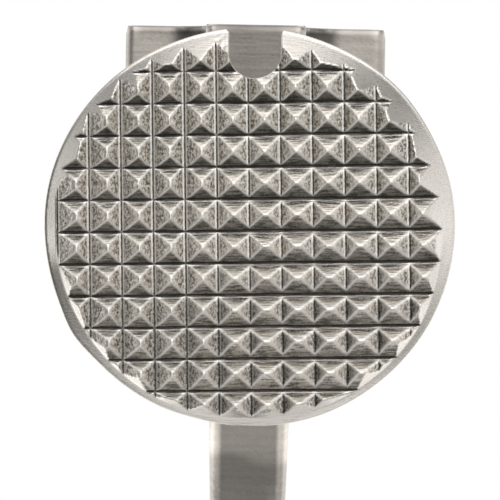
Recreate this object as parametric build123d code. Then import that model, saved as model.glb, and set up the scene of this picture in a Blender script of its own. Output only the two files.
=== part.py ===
from build123d import *
import math
import os

# Framing hammer with a one-piece titanium head and handle, a replaceable milled steel striking
# face, a nail starter with a magnet on top of the head, and a rubber grip over a nylon core.
#
# Frame, in millimetres: +Z runs up the handle to the head, -Y is the way the face strikes, X is
# across the hammer. The origin is the centre of the tether hole through the butt.

# ---------------------------------------------------------------- driving dimensions
# Head: heights are above the tether hole, and depths along Y are from the handle's centreline.
HEAD_HEIGHT = 400.0          # axis of the head
FACE_REACH = 60.0            # tips of the milled teeth, in front of the centreline
FACE_HALF_WIDTH = 19.3
FACE_HALF_HEIGHT = 18.7
FACE_THICKNESS = 12.0
FACE_BEVEL_DEPTH = 2.3       # ground bevel round the milled face
FACE_BEVEL_WIDTH = 2.75
FACE_BEVEL_SHIFT = 0.25      # the bevel is ground off centre, and so wider at the upper right
FACE_BACK_BEVEL = 3.0
FACE_STEP = 3.2              # from the top of the face in to the neck behind it

# Milled teeth: two sets of V grooves, cut across and up the face.
TOOTH_PITCH = 3.0
TOOTH_LAND = 0.12            # flat left on the tip of each tooth
GROOVE_DEPTH = 1.35          # of the grooves across the face
UPRIGHT_GROOVE_DEPTH = 1.06  # of the grooves up the face, at its middle
UPRIGHT_TILT_Z = 1.1         # degrees: the upright grooves run out shallower towards the bottom
UPRIGHT_TILT_X = 0.6         # degrees: and shallower towards the right
GRID_TURN = 1.6              # degrees that the milled grid is turned on the face, anticlockwise
GRID_DROP = 0.33             # the middle groove across the face is this far below the centre

# Nail starter: a round-bottomed notch through the face, and a groove behind it up to a stop.
NOTCH_WIDTH = 4.95
NOTCH_DEPTH = 4.75
STARTER_CLEARANCE = 0.4      # of the groove in the head, on each side of the notch and below it
STOP_BEHIND_FACE = 46.0      # nail stop, behind the tips of the teeth
MAGNET_RADIUS = 3.0
MAGNET_THICKNESS = 3.0
MAGNET_FROM_SEAT = 20.0      # magnet's axis, behind the face's seat

# Post that locates the face in the head, and the set screw that bears on its sloping flat.
POST_SIZE = 14.0
POST_CORNER = 2.5
POST_LENGTH = 20.0
SOCKET_CLEARANCE = 0.05      # on each side of the post
SOCKET_END_GAP = 1.0
SCREW_FROM_SEAT = 11.0
SCREW_RADIUS = 3.0
SCREW_THREAD_CLEARANCE = 0.04
SCREW_TIP_RADIUS = 1.5
SCREW_BITE = 1.7             # depth of the sloping flat where the screw bears
SCREW_GAP = 0.05
FLAT_SLOPE = 8.0             # degrees
FLAT_START = 3.0             # behind the seat
SCREW_HEX = 3.0              # across the flats of its key, and the depth of the socket for it
SCREW_SUNK = 1.0             # outer end, below the neck's surface

# Head casting.
NECK_TAPER = 2.1             # on the neck's radius, from the seat to its waist
NECK_LENGTH = 42.0           # seat to the end of the round neck
NECK_NOSE_SHARE = 0.8        # radius over the waist's, a third of the way round the rounded end
CHEEK_WIDTH = 10.2
CHEEK_NARROWS_FROM = 6.0     # height below the head's axis where the cheek starts to narrow
CHEEK_NARROWS_TO = 18.0      # and where it has the width of the handle's top
STOP_RISE = 2.1              # top of the nail stop, above the top of the face
CROWN_RISE = 0.55            # highest line of the head, above the nail stop
CHEEK_FRONT_REACH = 16.0     # foot of the front fillet, ahead of the nail stop
CHEEK_FRONT_SUNK = 2.0       # the same foot, inside the neck
CHEEK_REAR_REACH = 30.0      # foot of the rear fillet, behind the front of the claws
FRONT_FILLET_SAG = (4.6, 7.0)  # middle of the front fillet, from the handle's front and under the neck
REAR_FILLET_SAG = (5.5, 0.5)   # middle of the rear fillet, from the handle's rear and under the neck
CLAW_ROOT = 6.0              # front of the claws, behind the centreline
CLAW_REACH = 100.0
CLAW_ROOT_WIDTH = 27.2
CLAW_WIDTH = 28.6
CLAW_TIP_WIDTH = 26.4
CLAW_TIP_DROP = 28.0         # tip below the crown
CLAW_TIP_THICKNESS = 1.2
CLAW_ROOT_THICKNESS = 16.5
CLAW_UNDER_STRAIGHT = 26.0   # the underside runs straight for this far behind the root
CLAW_UNDER_RISE = 1.2        # and rises by this
CLAW_ROOT_SLOPE = -0.02
CLAW_TIP_SLOPE = -0.62
CLAW_UNDER_TIP_SLOPE = -0.40
CLAW_SHOULDER_FILLET = 4.0   # radius between the spine and the front of the claws
CLAW_CORNER = 0.5            # bevel on the front corners of the claws
CLAW_WIDEST = 40.0           # behind the front of the claws
CLAW_VEE_LENGTH = 48.0
CLAW_VEE_TIP_WIDTH = 13.0
CLAW_VEE_ROOT_WIDTH = 3.2

# Handle casting: an I-beam down to the grip, then a flat tang inside it.
SHANK_DEPTH = 22.0
SHANK_TOP_WIDTH = 8.2
SHANK_WIDTH = 7.2
SHANK_FILLET_DROP = 38.0     # where the handle's edges run straight, below the head's axis
SHANK_EDGE = 0.9             # radius on its front and rear edges
STOP_EDGE = 0.45             # chamfer on the upright edges of the nail stop
FLANGE = 4.2                 # front and rear flanges of the I-beam
WEB_WIDTH = 3.2
POCKET_DROP = 4.0            # top of the side pockets, below the fillets
POCKET_RISE = 9.0            # bottom of the side pockets, above the grip
TANG_THICKNESS = 5.0
TANG_DEPTH = 16.0
TANG_BELOW_HOLE = 9.0
TANG_CLEARANCE = 0.1

# Grip.
GRIP_TOP = 184.0
CAP_TOP = 12.0
SLEEVE_WALL = 3.0
SLEEVE_GAP = 0.1
UPPER_SCREW_DROP = 34.0      # below the top of the grip
LOWER_SCREW_RISE = 38.0      # above the butt cap
GRIP_SCREW_RADIUS = 2.0
BARREL_RADIUS = 2.9
GRIP_SCREW_HEAD_RADIUS = 4.8
GRIP_SCREW_HEAD = 2.2
HEAD_SEAT_OFFSET = 7.5       # seats of the screw heads, from the middle plane
BARREL_REACH = 4.0           # end of the barrel, past the middle plane
SCREW_REACH = 3.5            # end of the screw, past the middle plane
FASTENER_CLEARANCE = 0.05
WINDOW_MARGIN = 0.5
GRIP_HEX = 3.0
GRIP_HEX_DEPTH = 1.3

# Tether hole: a flanged steel bushing through the butt cap and the tang.
TETHER_RADIUS = 3.0
BUSHING_WALL = 1.0
BUSHING_SUNK = 1.4           # its ends, inside the widest part of the cap
BUSHING_FLANGE = 1.5
BUSHING_FLANGE_THICKNESS = 1.0

# Ovals across the grip: centre along Y, half depth along Y, half width along X. The first number
# of each of the grip's is its height, as a share of the way from the cap to the grip's top.
CAP_JOINT_OVAL = (-3.2, 20.4, 14.2)
GRIP_OVALS = (
    (1.0, 0.0, 14.2, 9.8),
    (0.92, 0.0, 15.6, 11.6),
    (0.745, 0.5, 17.0, 13.2),
    (0.54, 1.0, 18.0, 14.0),
    (0.337, 0.0, 16.8, 13.4),
    (0.151, -1.5, 17.6, 13.5),
    (0.0, *CAP_JOINT_OVAL),
)
CAP_WIDEST_OVAL = (-4.2, 22.6, 14.8)
CAP_ROUNDING_OVAL = (-4.6, 22.4, 14.0)
CAP_END_OVAL = (-4.6, 18.6, 10.6)
CAP_ROUNDING_DROP = 10.0     # below the tether hole
CAP_END_DROP = 16.0

# ---------------------------------------------------------------- places worked out from them
FRONT = -FACE_REACH
SEAT = FRONT + FACE_THICKNESS
STOP = FRONT + STOP_BEHIND_FACE
NOTCH_RADIUS = NOTCH_WIDTH / 2
NOTCH_FLOOR = FACE_HALF_HEIGHT - NOTCH_DEPTH
GROOVE_FLOOR = NOTCH_FLOOR - STARTER_CLEARANCE
SEAT_RADIUS = FACE_HALF_HEIGHT - FACE_STEP
NECK_WAIST_RADIUS = SEAT_RADIUS - NECK_TAPER
SPINE_HEIGHT = FACE_HALF_HEIGHT + STOP_RISE
CROWN_HEIGHT = SPINE_HEIGHT + CROWN_RISE
CLAW_ROOT_LOW = CROWN_HEIGHT - CLAW_ROOT_THICKNESS
GRIP_SCREW_HEIGHTS = (GRIP_TOP - UPPER_SCREW_DROP, CAP_TOP + LOWER_SCREW_RISE)
GRIP_STATIONS = [(CAP_TOP + share * (GRIP_TOP - CAP_TOP), *oval) for share, *oval in GRIP_OVALS]
CAP_STATIONS = (
    (CAP_TOP, *CAP_JOINT_OVAL),
    (0.0, *CAP_WIDEST_OVAL),
    (-CAP_ROUNDING_DROP, *CAP_ROUNDING_OVAL),
    (-CAP_END_DROP, *CAP_END_OVAL),
)
BUSHING_HALF_LENGTH = CAP_WIDEST_OVAL[2] - BUSHING_SUNK
BIG = 200.0                  # longer than any piece a cutter has to pass through
PAST = 1.0                   # how far a cutter runs on beyond the face it cuts through


def across(y):
    """A plane facing the striking direction at depth y: its x is X and its y is the height over the head."""
    return Plane(origin=(0, y, HEAD_HEIGHT), x_dir=(1, 0, 0), z_dir=(0, -1, 0))


def side(x=0.0):
    """A plane facing +X: its x is Y and its y is the height above the tether hole."""
    return Plane(origin=(x, 0, 0), x_dir=(0, 1, 0), z_dir=(1, 0, 0))


def head_side(x=0.0):
    """As side, with its y measured from the axis of the head."""
    return Plane(origin=(x, 0, HEAD_HEIGHT), x_dir=(0, 1, 0), z_dir=(1, 0, 0))


def level(z):
    """A level plane: its x is X and its y is Y."""
    return Plane(origin=(0, 0, z))


def pin(x0, x1, radius, y, z):
    """A round bar along X from x0 to x1."""
    return extrude(side(x0) * Pos(y, z) * Circle(radius), x1 - x0)


def hex_key_socket(x_mouth, depth, flats, y, z):
    """A hexagonal hole along X, sunk by depth from x_mouth. A negative depth sinks it towards -X."""
    hexagon = RegularPolygon(flats / 2, 6, major_radius=False)
    return extrude(side(x_mouth) * Pos(y, z) * hexagon, depth)


# ---------------------------------------------------------------- striking face
def saw_teeth():
    """Outline of a comb of V grooves: x runs along the comb, y is the height of the tips above 0."""
    reach = math.ceil(max(FACE_HALF_WIDTH, FACE_HALF_HEIGHT) / TOOTH_PITCH) + 1
    half_open = (TOOTH_PITCH - TOOTH_LAND) / 2
    above = 2 * GROOVE_DEPTH
    points = [(-(reach + 0.5) * TOOTH_PITCH, above)]
    for k in range(-reach, reach + 1):
        middle = k * TOOTH_PITCH
        points.append((middle - half_open, 0.0))
        points.append((middle, -GROOVE_DEPTH))
        points.append((middle + half_open, 0.0))
    points.append(((reach + 0.5) * TOOTH_PITCH, above))
    return Polygon(*points, align=None)


def comb_cutter():
    """The comb as a cutter over the whole face, with its grooves running along X and its tips at y = 0."""
    teeth = Plane.YZ * Rot(0, 0, 90) * saw_teeth()
    return extrude(teeth, 2 * FACE_HALF_WIDTH, both=True)


def milled_grooves():
    """Both sets of grooves, in place on the face."""
    comb = comb_cutter()
    across_face = Pos(0, 0, -GRID_DROP) * comb
    lift = GROOVE_DEPTH - UPRIGHT_GROOVE_DEPTH
    upright = Rot(0, 90, 0) * comb
    upright = Rot(-UPRIGHT_TILT_Z, 0, -UPRIGHT_TILT_X) * upright
    upright = Pos(0, -lift, 0) * upright
    place = Pos(0, FRONT, HEAD_HEIGHT) * Rot(0, -GRID_TURN, 0)
    return [place * across_face, place * upright]


def striking_face():
    """Hardened steel face: a bevelled disc with milled teeth, a nail notch and a square post behind it."""
    outline = Ellipse(FACE_HALF_WIDTH, FACE_HALF_HEIGHT)
    tips = Ellipse(FACE_HALF_WIDTH - FACE_BEVEL_WIDTH, FACE_HALF_HEIGHT - FACE_BEVEL_WIDTH)
    seat = Ellipse(FACE_HALF_WIDTH - FACE_BACK_BEVEL, FACE_HALF_HEIGHT - FACE_BACK_BEVEL)
    shift = Pos(-FACE_BEVEL_SHIFT, -FACE_BEVEL_SHIFT)
    rim_front = FRONT + FACE_BEVEL_DEPTH
    rim_back = SEAT - FACE_BACK_BEVEL
    bevel = loft([across(rim_front) * outline, across(FRONT) * shift * tips], ruled=True)
    rim = extrude(across(rim_back) * outline, rim_back - rim_front)
    back = loft([across(SEAT) * seat, across(rim_back) * outline], ruled=True)
    disc = bevel + rim + back
    for cutter in milled_grooves():
        disc = disc - cutter

    notch_centre = NOTCH_FLOOR + NOTCH_RADIUS
    slot = Pos(0, notch_centre) * Circle(NOTCH_RADIUS)
    slot += Pos(0, notch_centre + NOTCH_DEPTH) * Rectangle(NOTCH_WIDTH, 2 * NOTCH_DEPTH)
    disc -= extrude(across(SEAT + PAST) * slot, FACE_THICKNESS + 2 * PAST)

    post_section = RectangleRounded(POST_SIZE, POST_SIZE, POST_CORNER)
    post = extrude(across(SEAT + POST_LENGTH) * post_section, POST_LENGTH)
    return disc + (post - sloping_flat())


def flat_depth(y):
    """Depth of the post's sloping flat below its side, at depth y along the hammer."""
    return SCREW_BITE - (y - SEAT - SCREW_FROM_SEAT) * math.tan(math.radians(FLAT_SLOPE))


def sloping_flat():
    """Cutter for the flat on the post's +X side, which is deepest towards the face."""
    start, end = SEAT + FLAT_START, SEAT + POST_LENGTH + PAST
    edge = POST_SIZE / 2
    outline = Polygon(
        (edge - flat_depth(start), start),
        (edge - flat_depth(end), end),
        (edge + PAST, end),
        (edge + PAST, start),
        align=None,
    )
    return extrude(level(HEAD_HEIGHT) * outline, POST_SIZE, both=True)


def screw_tip_x():
    """Where the set screw's tip stops, just clear of the highest part of the flat under it."""
    return POST_SIZE / 2 - flat_depth(SEAT + SCREW_FROM_SEAT + SCREW_TIP_RADIUS) + SCREW_GAP


def neck_radius(y):
    """Radius of the round neck at depth y, over its straight taper."""
    share = (y - SEAT) / (NECK_LENGTH / 2)
    return SEAT_RADIUS + (NECK_WAIST_RADIUS - SEAT_RADIUS) * share


def face_lock_screw():
    """Socket set screw that holds the face: cone point, hexagonal key socket, flush with the neck."""
    y = SEAT + SCREW_FROM_SEAT
    x_tip = screw_tip_x()
    x_end = neck_radius(y) - SCREW_SUNK
    cone = SCREW_RADIUS - SCREW_TIP_RADIUS
    body = pin(x_tip + cone, x_end, SCREW_RADIUS, y, HEAD_HEIGHT)
    tip_circle = side(x_tip) * Pos(y, HEAD_HEIGHT) * Circle(SCREW_TIP_RADIUS)
    body_circle = side(x_tip + cone) * Pos(y, HEAD_HEIGHT) * Circle(SCREW_RADIUS)
    body += loft([tip_circle, body_circle])
    return body - hex_key_socket(x_end, -SCREW_HEX, SCREW_HEX, y, HEAD_HEIGHT)


def nail_magnet():
    """Disc magnet let into the floor of the nail groove."""
    y = SEAT + MAGNET_FROM_SEAT
    bottom = HEAD_HEIGHT + GROOVE_FLOOR - MAGNET_THICKNESS
    return extrude(level(bottom) * Pos(0, y) * Circle(MAGNET_RADIUS), MAGNET_THICKNESS)


# ---------------------------------------------------------------- head and handle casting
def neck():
    """Round neck behind the face: a slight taper that closes over the cheek like the end of a bullet."""
    taper_end = SEAT + NECK_LENGTH / 2
    end = SEAT + NECK_LENGTH
    nose = ThreePointArc(
        (NECK_WAIST_RADIUS, taper_end),
        (NECK_WAIST_RADIUS * NECK_NOSE_SHARE, taper_end + NECK_LENGTH * 0.28),
        (0, end),
    )
    outline = (
        Line((0, SEAT), (SEAT_RADIUS, SEAT))
        + Line((SEAT_RADIUS, SEAT), (NECK_WAIST_RADIUS, taper_end))
        + nose
        + Line((0, end), (0, SEAT))
    )
    half = make_face(level(HEAD_HEIGHT) * outline)
    return revolve(half, Axis((0, 0, HEAD_HEIGHT), (0, 1, 0)))


def cheek_profile():
    """Side outline of the casting's narrow middle: nail stop, spine, cheek and handle down to the grip."""
    half = SHANK_DEPTH / 2
    front_fillet = ThreePointArc(
        (STOP - CHEEK_FRONT_REACH, CHEEK_FRONT_SUNK - NECK_WAIST_RADIUS),
        (-half - FRONT_FILLET_SAG[0], -NECK_WAIST_RADIUS - FRONT_FILLET_SAG[1]),
        (-half, -SHANK_FILLET_DROP),
    )
    rear_fillet = ThreePointArc(
        (half, -SHANK_FILLET_DROP),
        (half + REAR_FILLET_SAG[0], -NECK_WAIST_RADIUS - REAR_FILLET_SAG[1]),
        (CLAW_ROOT + CHEEK_REAR_REACH, CLAW_ROOT_LOW + CLAW_UNDER_RISE + PAST),
    )
    shank_end = GRIP_TOP - HEAD_HEIGHT
    handle = Polyline(front_fillet @ 1, (-half, shank_end), (half, shank_end), rear_fillet @ 0)
    inside_claws = (CLAW_ROOT + CHEEK_REAR_REACH, CLAW_ROOT_LOW + CLAW_ROOT_THICKNESS / 2)
    crown = (CLAW_ROOT + CLAW_CORNER, CROWN_HEIGHT)
    inside_neck = (STOP - CHEEK_FRONT_REACH, 0)
    spine = Polyline(rear_fillet @ 1, inside_claws, crown, (STOP, SPINE_HEIGHT))
    stop = Polyline(spine @ 1, (STOP, 0), inside_neck, front_fillet @ 0)
    return make_face(head_side() * (front_fillet + handle + rear_fillet + spine + stop))


def width_profile():
    """Front outline of the same pieces: the cheek, narrowing to the handle."""
    half = CHEEK_WIDTH / 2
    top_half, low_half = SHANK_TOP_WIDTH / 2, SHANK_WIDTH / 2
    end = GRIP_TOP - HEAD_HEIGHT - PAST
    right = [
        (half, CROWN_HEIGHT + PAST),
        (half, -CHEEK_NARROWS_FROM),
        (top_half, -CHEEK_NARROWS_TO),
        (low_half, -SHANK_FILLET_DROP),
        (low_half, end),
    ]
    left = [(-x, z) for x, z in reversed(right)]
    return across(0) * Polygon(*right, *left, align=None)


def claw_profile():
    """Side outline of the claws, curving down from the crown to thin tips."""
    tip_top = CROWN_HEIGHT - CLAW_TIP_DROP
    tip_low = tip_top - CLAW_TIP_THICKNESS
    top = Spline(
        (CLAW_ROOT, CROWN_HEIGHT),
        (CLAW_REACH, tip_top),
        tangents=[(1.0, CLAW_ROOT_SLOPE), (1.0, CLAW_TIP_SLOPE)],
    )
    tip = Line(top @ 1, (CLAW_REACH, tip_low))
    under = Spline(
        tip @ 1,
        (CLAW_ROOT + CLAW_UNDER_STRAIGHT, CLAW_ROOT_LOW + CLAW_UNDER_RISE),
        tangents=[(-1.0, -CLAW_UNDER_TIP_SLOPE), (-1.0, -CLAW_UNDER_RISE / CLAW_UNDER_STRAIGHT)],
    )
    root = Polyline(under @ 1, (0, CLAW_ROOT_LOW), (0, CROWN_HEIGHT), top @ 0)
    return make_face(head_side() * (top + tip + under + root))


def claw_plan():
    """Plan outline of the claws: a fillet out of the spine, square shoulders and a slight flare."""
    spine = CHEEK_WIDTH / 2
    root, widest, tip = CLAW_ROOT_WIDTH / 2, CLAW_WIDTH / 2, CLAW_TIP_WIDTH / 2
    fillet_start = CLAW_ROOT - CLAW_SHOULDER_FILLET
    inner = CLAW_SHOULDER_FILLET * (1 - math.sqrt(0.5))
    shoulder = ThreePointArc(
        (spine, fillet_start),
        (spine + inner, CLAW_ROOT - inner),
        (spine + CLAW_SHOULDER_FILLET, CLAW_ROOT),
    )
    spine_side = Polyline((0, fillet_start - PAST), (spine, fillet_start - PAST), shoulder @ 0)
    corner = Polyline(shoulder @ 1, (root - CLAW_CORNER, CLAW_ROOT), (root, CLAW_ROOT + CLAW_CORNER))
    flare = Spline(corner @ 1, (widest, CLAW_ROOT + CLAW_WIDEST), (tip, CLAW_REACH))
    end = Line(flare @ 1, (0, CLAW_REACH))
    right = spine_side + shoulder + corner + flare + end
    left = mirror(right, Plane.YZ)
    return level(HEAD_HEIGHT) * make_face(right + left)


def claw_vee():
    """Cutter for the nail-pulling V between the claws."""
    root, tip = CLAW_VEE_ROOT_WIDTH / 2, CLAW_VEE_TIP_WIDTH / 2
    start = CLAW_REACH - CLAW_VEE_LENGTH + root
    beyond = CLAW_REACH + PAST
    outline = Polygon((-root, start), (-tip, beyond), (tip, beyond), (root, start), align=None)
    outline += Pos(0, start) * Circle(root)
    return extrude(level(HEAD_HEIGHT) * outline, 2 * CROWN_HEIGHT, both=True)


def claws():
    """Pair of claws, as one plate split by the V."""
    plate = extrude(claw_profile(), CLAW_WIDTH, both=True)
    plan = extrude(claw_plan(), 2 * CROWN_HEIGHT, both=True)
    return (plate & plan) - claw_vee()


def shank_pocket():
    """Cutter for both side pockets of the I-beam handle."""
    half = SHANK_DEPTH / 2 - FLANGE
    top = HEAD_HEIGHT - SHANK_FILLET_DROP - POCKET_DROP
    bottom = GRIP_TOP + POCKET_RISE
    outline = Pos(0, (top + bottom) / 2) * RectangleRounded(2 * half, top - bottom, half * 0.8)
    floor = WEB_WIDTH / 2
    right = extrude(side(floor) * outline, BIG)
    left = extrude(side(-floor) * outline, -BIG)
    return right + left


def nail_groove():
    """Cutter for the groove along the top of the neck, up to the nail stop."""
    half = NOTCH_RADIUS + STARTER_CLEARANCE
    centre = GROOVE_FLOOR + half
    outline = Pos(0, centre) * Circle(half) + Pos(0, centre + half) * Rectangle(2 * half, 2 * half)
    return extrude(across(STOP) * outline, STOP - SEAT + PAST)


def is_outer_edge(edge):
    """Whether an edge of the middle runs down its front or its rear, below the head's axis."""
    place, along = edge.center(), edge.tangent_at(0.5)
    runs_down = abs(along.X) < 0.5 and abs(along.Y) < 0.999
    return runs_down and place.Z < HEAD_HEIGHT - 1 and abs(place.X) > SHANK_WIDTH * 0.4


def is_stop_edge(edge):
    """Whether an edge runs up one side of the nail stop's front."""
    place, along = edge.center(), edge.tangent_at(0.5)
    return abs(place.Y - STOP) < 0.01 and place.Z > HEAD_HEIGHT + 1 and abs(along.X) < 0.5


def middle():
    """Cheek, nail stop and handle, with their edges broken as they are on the casting."""
    blank = extrude(cheek_profile(), CHEEK_WIDTH, both=True) & extrude(width_profile(), BIG, both=True)
    blank = fillet([edge for edge in blank.edges() if is_outer_edge(edge)], SHANK_EDGE)
    return chamfer([edge for edge in blank.edges() if is_stop_edge(edge)], STOP_EDGE)


def hammer_body():
    """Titanium casting: neck, cheek, claws, I-beam handle and the tang inside the grip."""
    body = neck() + middle() + claws()

    socket_size = POST_SIZE + 2 * SOCKET_CLEARANCE
    socket = RectangleRounded(socket_size, socket_size, POST_CORNER)
    socket_end = SEAT + POST_LENGTH + SOCKET_END_GAP
    body -= extrude(across(socket_end) * socket, socket_end - SEAT + PAST)
    body -= nail_groove()
    body -= pin(
        POST_SIZE / 2 - PAST, SEAT_RADIUS + PAST, SCREW_RADIUS + SCREW_THREAD_CLEARANCE,
        SEAT + SCREW_FROM_SEAT, HEAD_HEIGHT,
    )
    pocket_floor = HEAD_HEIGHT + GROOVE_FLOOR - MAGNET_THICKNESS
    magnet_hole = Pos(0, SEAT + MAGNET_FROM_SEAT) * Circle(MAGNET_RADIUS + FASTENER_CLEARANCE)
    body -= extrude(level(pocket_floor) * magnet_hole, MAGNET_THICKNESS + PAST)
    body -= shank_pocket()
    return body + tang()


def tang():
    """Flat tang inside the grip, drilled for the grip screws and the tether bushing."""
    height = GRIP_TOP + TANG_BELOW_HOLE
    blade = Pos(0, 0, -TANG_BELOW_HOLE) * Box(
        TANG_THICKNESS, TANG_DEPTH, height + PAST, align=(Align.CENTER, Align.CENTER, Align.MIN)
    )
    half = TANG_THICKNESS
    for z in GRIP_SCREW_HEIGHTS:
        blade -= pin(-half, half, BARREL_RADIUS + FASTENER_CLEARANCE, 0, z)
    bushing = TETHER_RADIUS + BUSHING_WALL + FASTENER_CLEARANCE
    return blade - pin(-half, half, bushing, 0, 0)


# ---------------------------------------------------------------- grip
def grip_form(stations, inset=0.0):
    """Smooth solid through the oval stations, made smaller all round by inset."""
    ovals = [
        level(z) * Pos(0, y) * Rot(0, 0, 90) * Ellipse(depth - inset, width - inset)
        for z, y, depth, width in stations
    ]
    return loft(ovals)


def tang_slot():
    """Room for the tang in the core and the cap."""
    size = 2 * TANG_CLEARANCE
    return Pos(0, 0, -TANG_BELOW_HOLE - TANG_CLEARANCE) * Box(
        TANG_THICKNESS + size, TANG_DEPTH + size, BIG * 2, align=(Align.CENTER, Align.CENTER, Align.MIN)
    )


def grip_core():
    """Both halves of the nylon core as one solid, with its screw holes and the seats of the screw heads."""
    core = grip_form(GRIP_STATIONS, SLEEVE_WALL + SLEEVE_GAP) - tang_slot()
    hole = BARREL_RADIUS + FASTENER_CLEARANCE
    seat = GRIP_SCREW_HEAD_RADIUS + FASTENER_CLEARANCE
    for z in GRIP_SCREW_HEIGHTS:
        core -= pin(-BIG, BIG, hole, 0, z)
        core -= pin(HEAD_SEAT_OFFSET, BIG, seat, 0, z)
        core -= pin(-BIG, -HEAD_SEAT_OFFSET, seat, 0, z)
    return core


def grip_core_half(sign):
    """The core's half on one side of the tang: sign 1 is +X, and -1 is -X."""
    room = Pos(sign * BIG / 2, 0, 0) * Box(BIG, BIG, 4 * BIG)
    return grip_core() & room


def grip_sleeve():
    """Rubber sleeve over the core, with a window over each screw head."""
    sleeve = grip_form(GRIP_STATIONS) - grip_form(GRIP_STATIONS, SLEEVE_WALL)
    window = GRIP_SCREW_HEAD_RADIUS + WINDOW_MARGIN
    for z in GRIP_SCREW_HEIGHTS:
        sleeve -= pin(-BIG, BIG, window, 0, z)
    return sleeve


def grip_screw(z):
    """Screw half of a two-part grip fastener, from the +X side."""
    seat = HEAD_SEAT_OFFSET
    end = seat + GRIP_SCREW_HEAD
    screw = pin(-SCREW_REACH, seat, GRIP_SCREW_RADIUS, 0, z)
    screw += pin(seat, end, GRIP_SCREW_HEAD_RADIUS, 0, z)
    return screw - hex_key_socket(end, -GRIP_HEX_DEPTH, GRIP_HEX, 0, z)


def grip_barrel_nut(z):
    """Barrel half of a two-part grip fastener, from the -X side."""
    seat = -HEAD_SEAT_OFFSET
    end = seat - GRIP_SCREW_HEAD
    nut = pin(seat, BARREL_REACH, BARREL_RADIUS, 0, z)
    nut += pin(end, seat, GRIP_SCREW_HEAD_RADIUS, 0, z)
    nut -= pin(-SCREW_REACH - PAST, BARREL_REACH, GRIP_SCREW_RADIUS + SCREW_THREAD_CLEARANCE, 0, z)
    return nut - hex_key_socket(end, GRIP_HEX_DEPTH, GRIP_HEX, 0, z)


def butt_cap():
    """Hard cap under the grip, held by the tether bushing that passes through it and the tang."""
    cap = grip_form(CAP_STATIONS) - tang_slot()
    tube = TETHER_RADIUS + BUSHING_WALL + FASTENER_CLEARANCE
    flange = tube + BUSHING_FLANGE
    inner = BUSHING_HALF_LENGTH - BUSHING_FLANGE_THICKNESS
    cap -= pin(-BIG, BIG, tube, 0, 0)
    cap -= pin(inner, BIG, flange, 0, 0)
    return cap - pin(-BIG, -inner, flange, 0, 0)


def tether_bushing():
    """Steel bushing with a flange at each end, which lines the tether hole."""
    half = BUSHING_HALF_LENGTH
    outer = TETHER_RADIUS + BUSHING_WALL
    bushing = pin(-half, half, outer, 0, 0)
    bushing += pin(half - BUSHING_FLANGE_THICKNESS, half, outer + BUSHING_FLANGE, 0, 0)
    bushing += pin(-half, -half + BUSHING_FLANGE_THICKNESS, outer + BUSHING_FLANGE, 0, 0)
    return bushing - pin(-half - PAST, half + PAST, TETHER_RADIUS, 0, 0)


# ---------------------------------------------------------------- nodes
NODES = {
    "hammer_body": hammer_body(),
    "striking_face": striking_face(),
    "face_lock_screw": face_lock_screw(),
    "nail_magnet": nail_magnet(),
    "grip_core_right": grip_core_half(1),
    "grip_core_left": grip_core_half(-1),
    "grip_sleeve": grip_sleeve(),
    "grip_screws": Compound(children=[grip_screw(z) for z in GRIP_SCREW_HEIGHTS]),
    "grip_barrel_nuts": Compound(children=[grip_barrel_nut(z) for z in GRIP_SCREW_HEIGHTS]),
    "butt_cap": butt_cap(),
    "tether_bushing": tether_bushing(),
}

os.makedirs("parts", exist_ok=True)
for name, shape in NODES.items():
    export_step(shape, f"parts/{name}.step")
    print(name, round(shape.volume), "mm3")
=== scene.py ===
import math

import bmesh
import bpy
import numpy as np
from mathutils import Matrix, Vector
from mathutils.geometry import tessellate_polygon


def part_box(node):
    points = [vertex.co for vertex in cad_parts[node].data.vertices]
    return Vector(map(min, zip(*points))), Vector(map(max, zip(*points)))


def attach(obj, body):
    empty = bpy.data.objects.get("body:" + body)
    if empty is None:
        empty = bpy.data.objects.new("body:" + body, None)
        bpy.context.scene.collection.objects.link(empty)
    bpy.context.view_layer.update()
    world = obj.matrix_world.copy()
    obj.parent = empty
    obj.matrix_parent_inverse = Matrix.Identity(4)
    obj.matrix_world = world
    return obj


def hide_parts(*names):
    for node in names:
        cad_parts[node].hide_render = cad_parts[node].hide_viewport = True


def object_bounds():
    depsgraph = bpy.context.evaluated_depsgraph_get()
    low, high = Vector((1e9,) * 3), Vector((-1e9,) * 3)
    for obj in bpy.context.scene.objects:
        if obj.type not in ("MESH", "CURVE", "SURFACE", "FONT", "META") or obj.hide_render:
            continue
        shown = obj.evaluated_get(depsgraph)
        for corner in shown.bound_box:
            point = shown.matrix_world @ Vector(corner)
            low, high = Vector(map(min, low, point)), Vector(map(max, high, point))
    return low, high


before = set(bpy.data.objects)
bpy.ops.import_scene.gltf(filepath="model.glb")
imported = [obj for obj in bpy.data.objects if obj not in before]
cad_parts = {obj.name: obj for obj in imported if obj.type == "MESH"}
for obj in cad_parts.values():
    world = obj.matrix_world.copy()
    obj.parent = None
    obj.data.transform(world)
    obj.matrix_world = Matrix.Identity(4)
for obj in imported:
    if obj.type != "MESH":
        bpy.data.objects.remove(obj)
cad_low, cad_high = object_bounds()
MM = 0.001

# ---------------------------------------------------------------- striking face
# A disc of hardened tool steel with two sets of V grooves milled across it, which leave rows of
# pyramid teeth. A bevel is ground round them by hand, and a round-bottomed notch for starting nails
# is cut through the top. A square post behind the disc holds it in the head.
face_low, face_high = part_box("striking_face")
face_half_width = (face_high.x - face_low.x) / 2 / MM
face_half_height = 18.7
face_centre = Vector((0, face_low.y, face_low.z + face_half_height * MM))
face_thickness = 12.0
face_back_bevel = 3.0
face_outline_shift = -0.30

tooth_pitch = 3.0
grid_turn = math.radians(1.63)
grid_drop = 0.33
groove_depth = 1.36
upright_slope = 0.83
grid_step = tooth_pitch / 26
apex_lean = 0.0133
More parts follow.
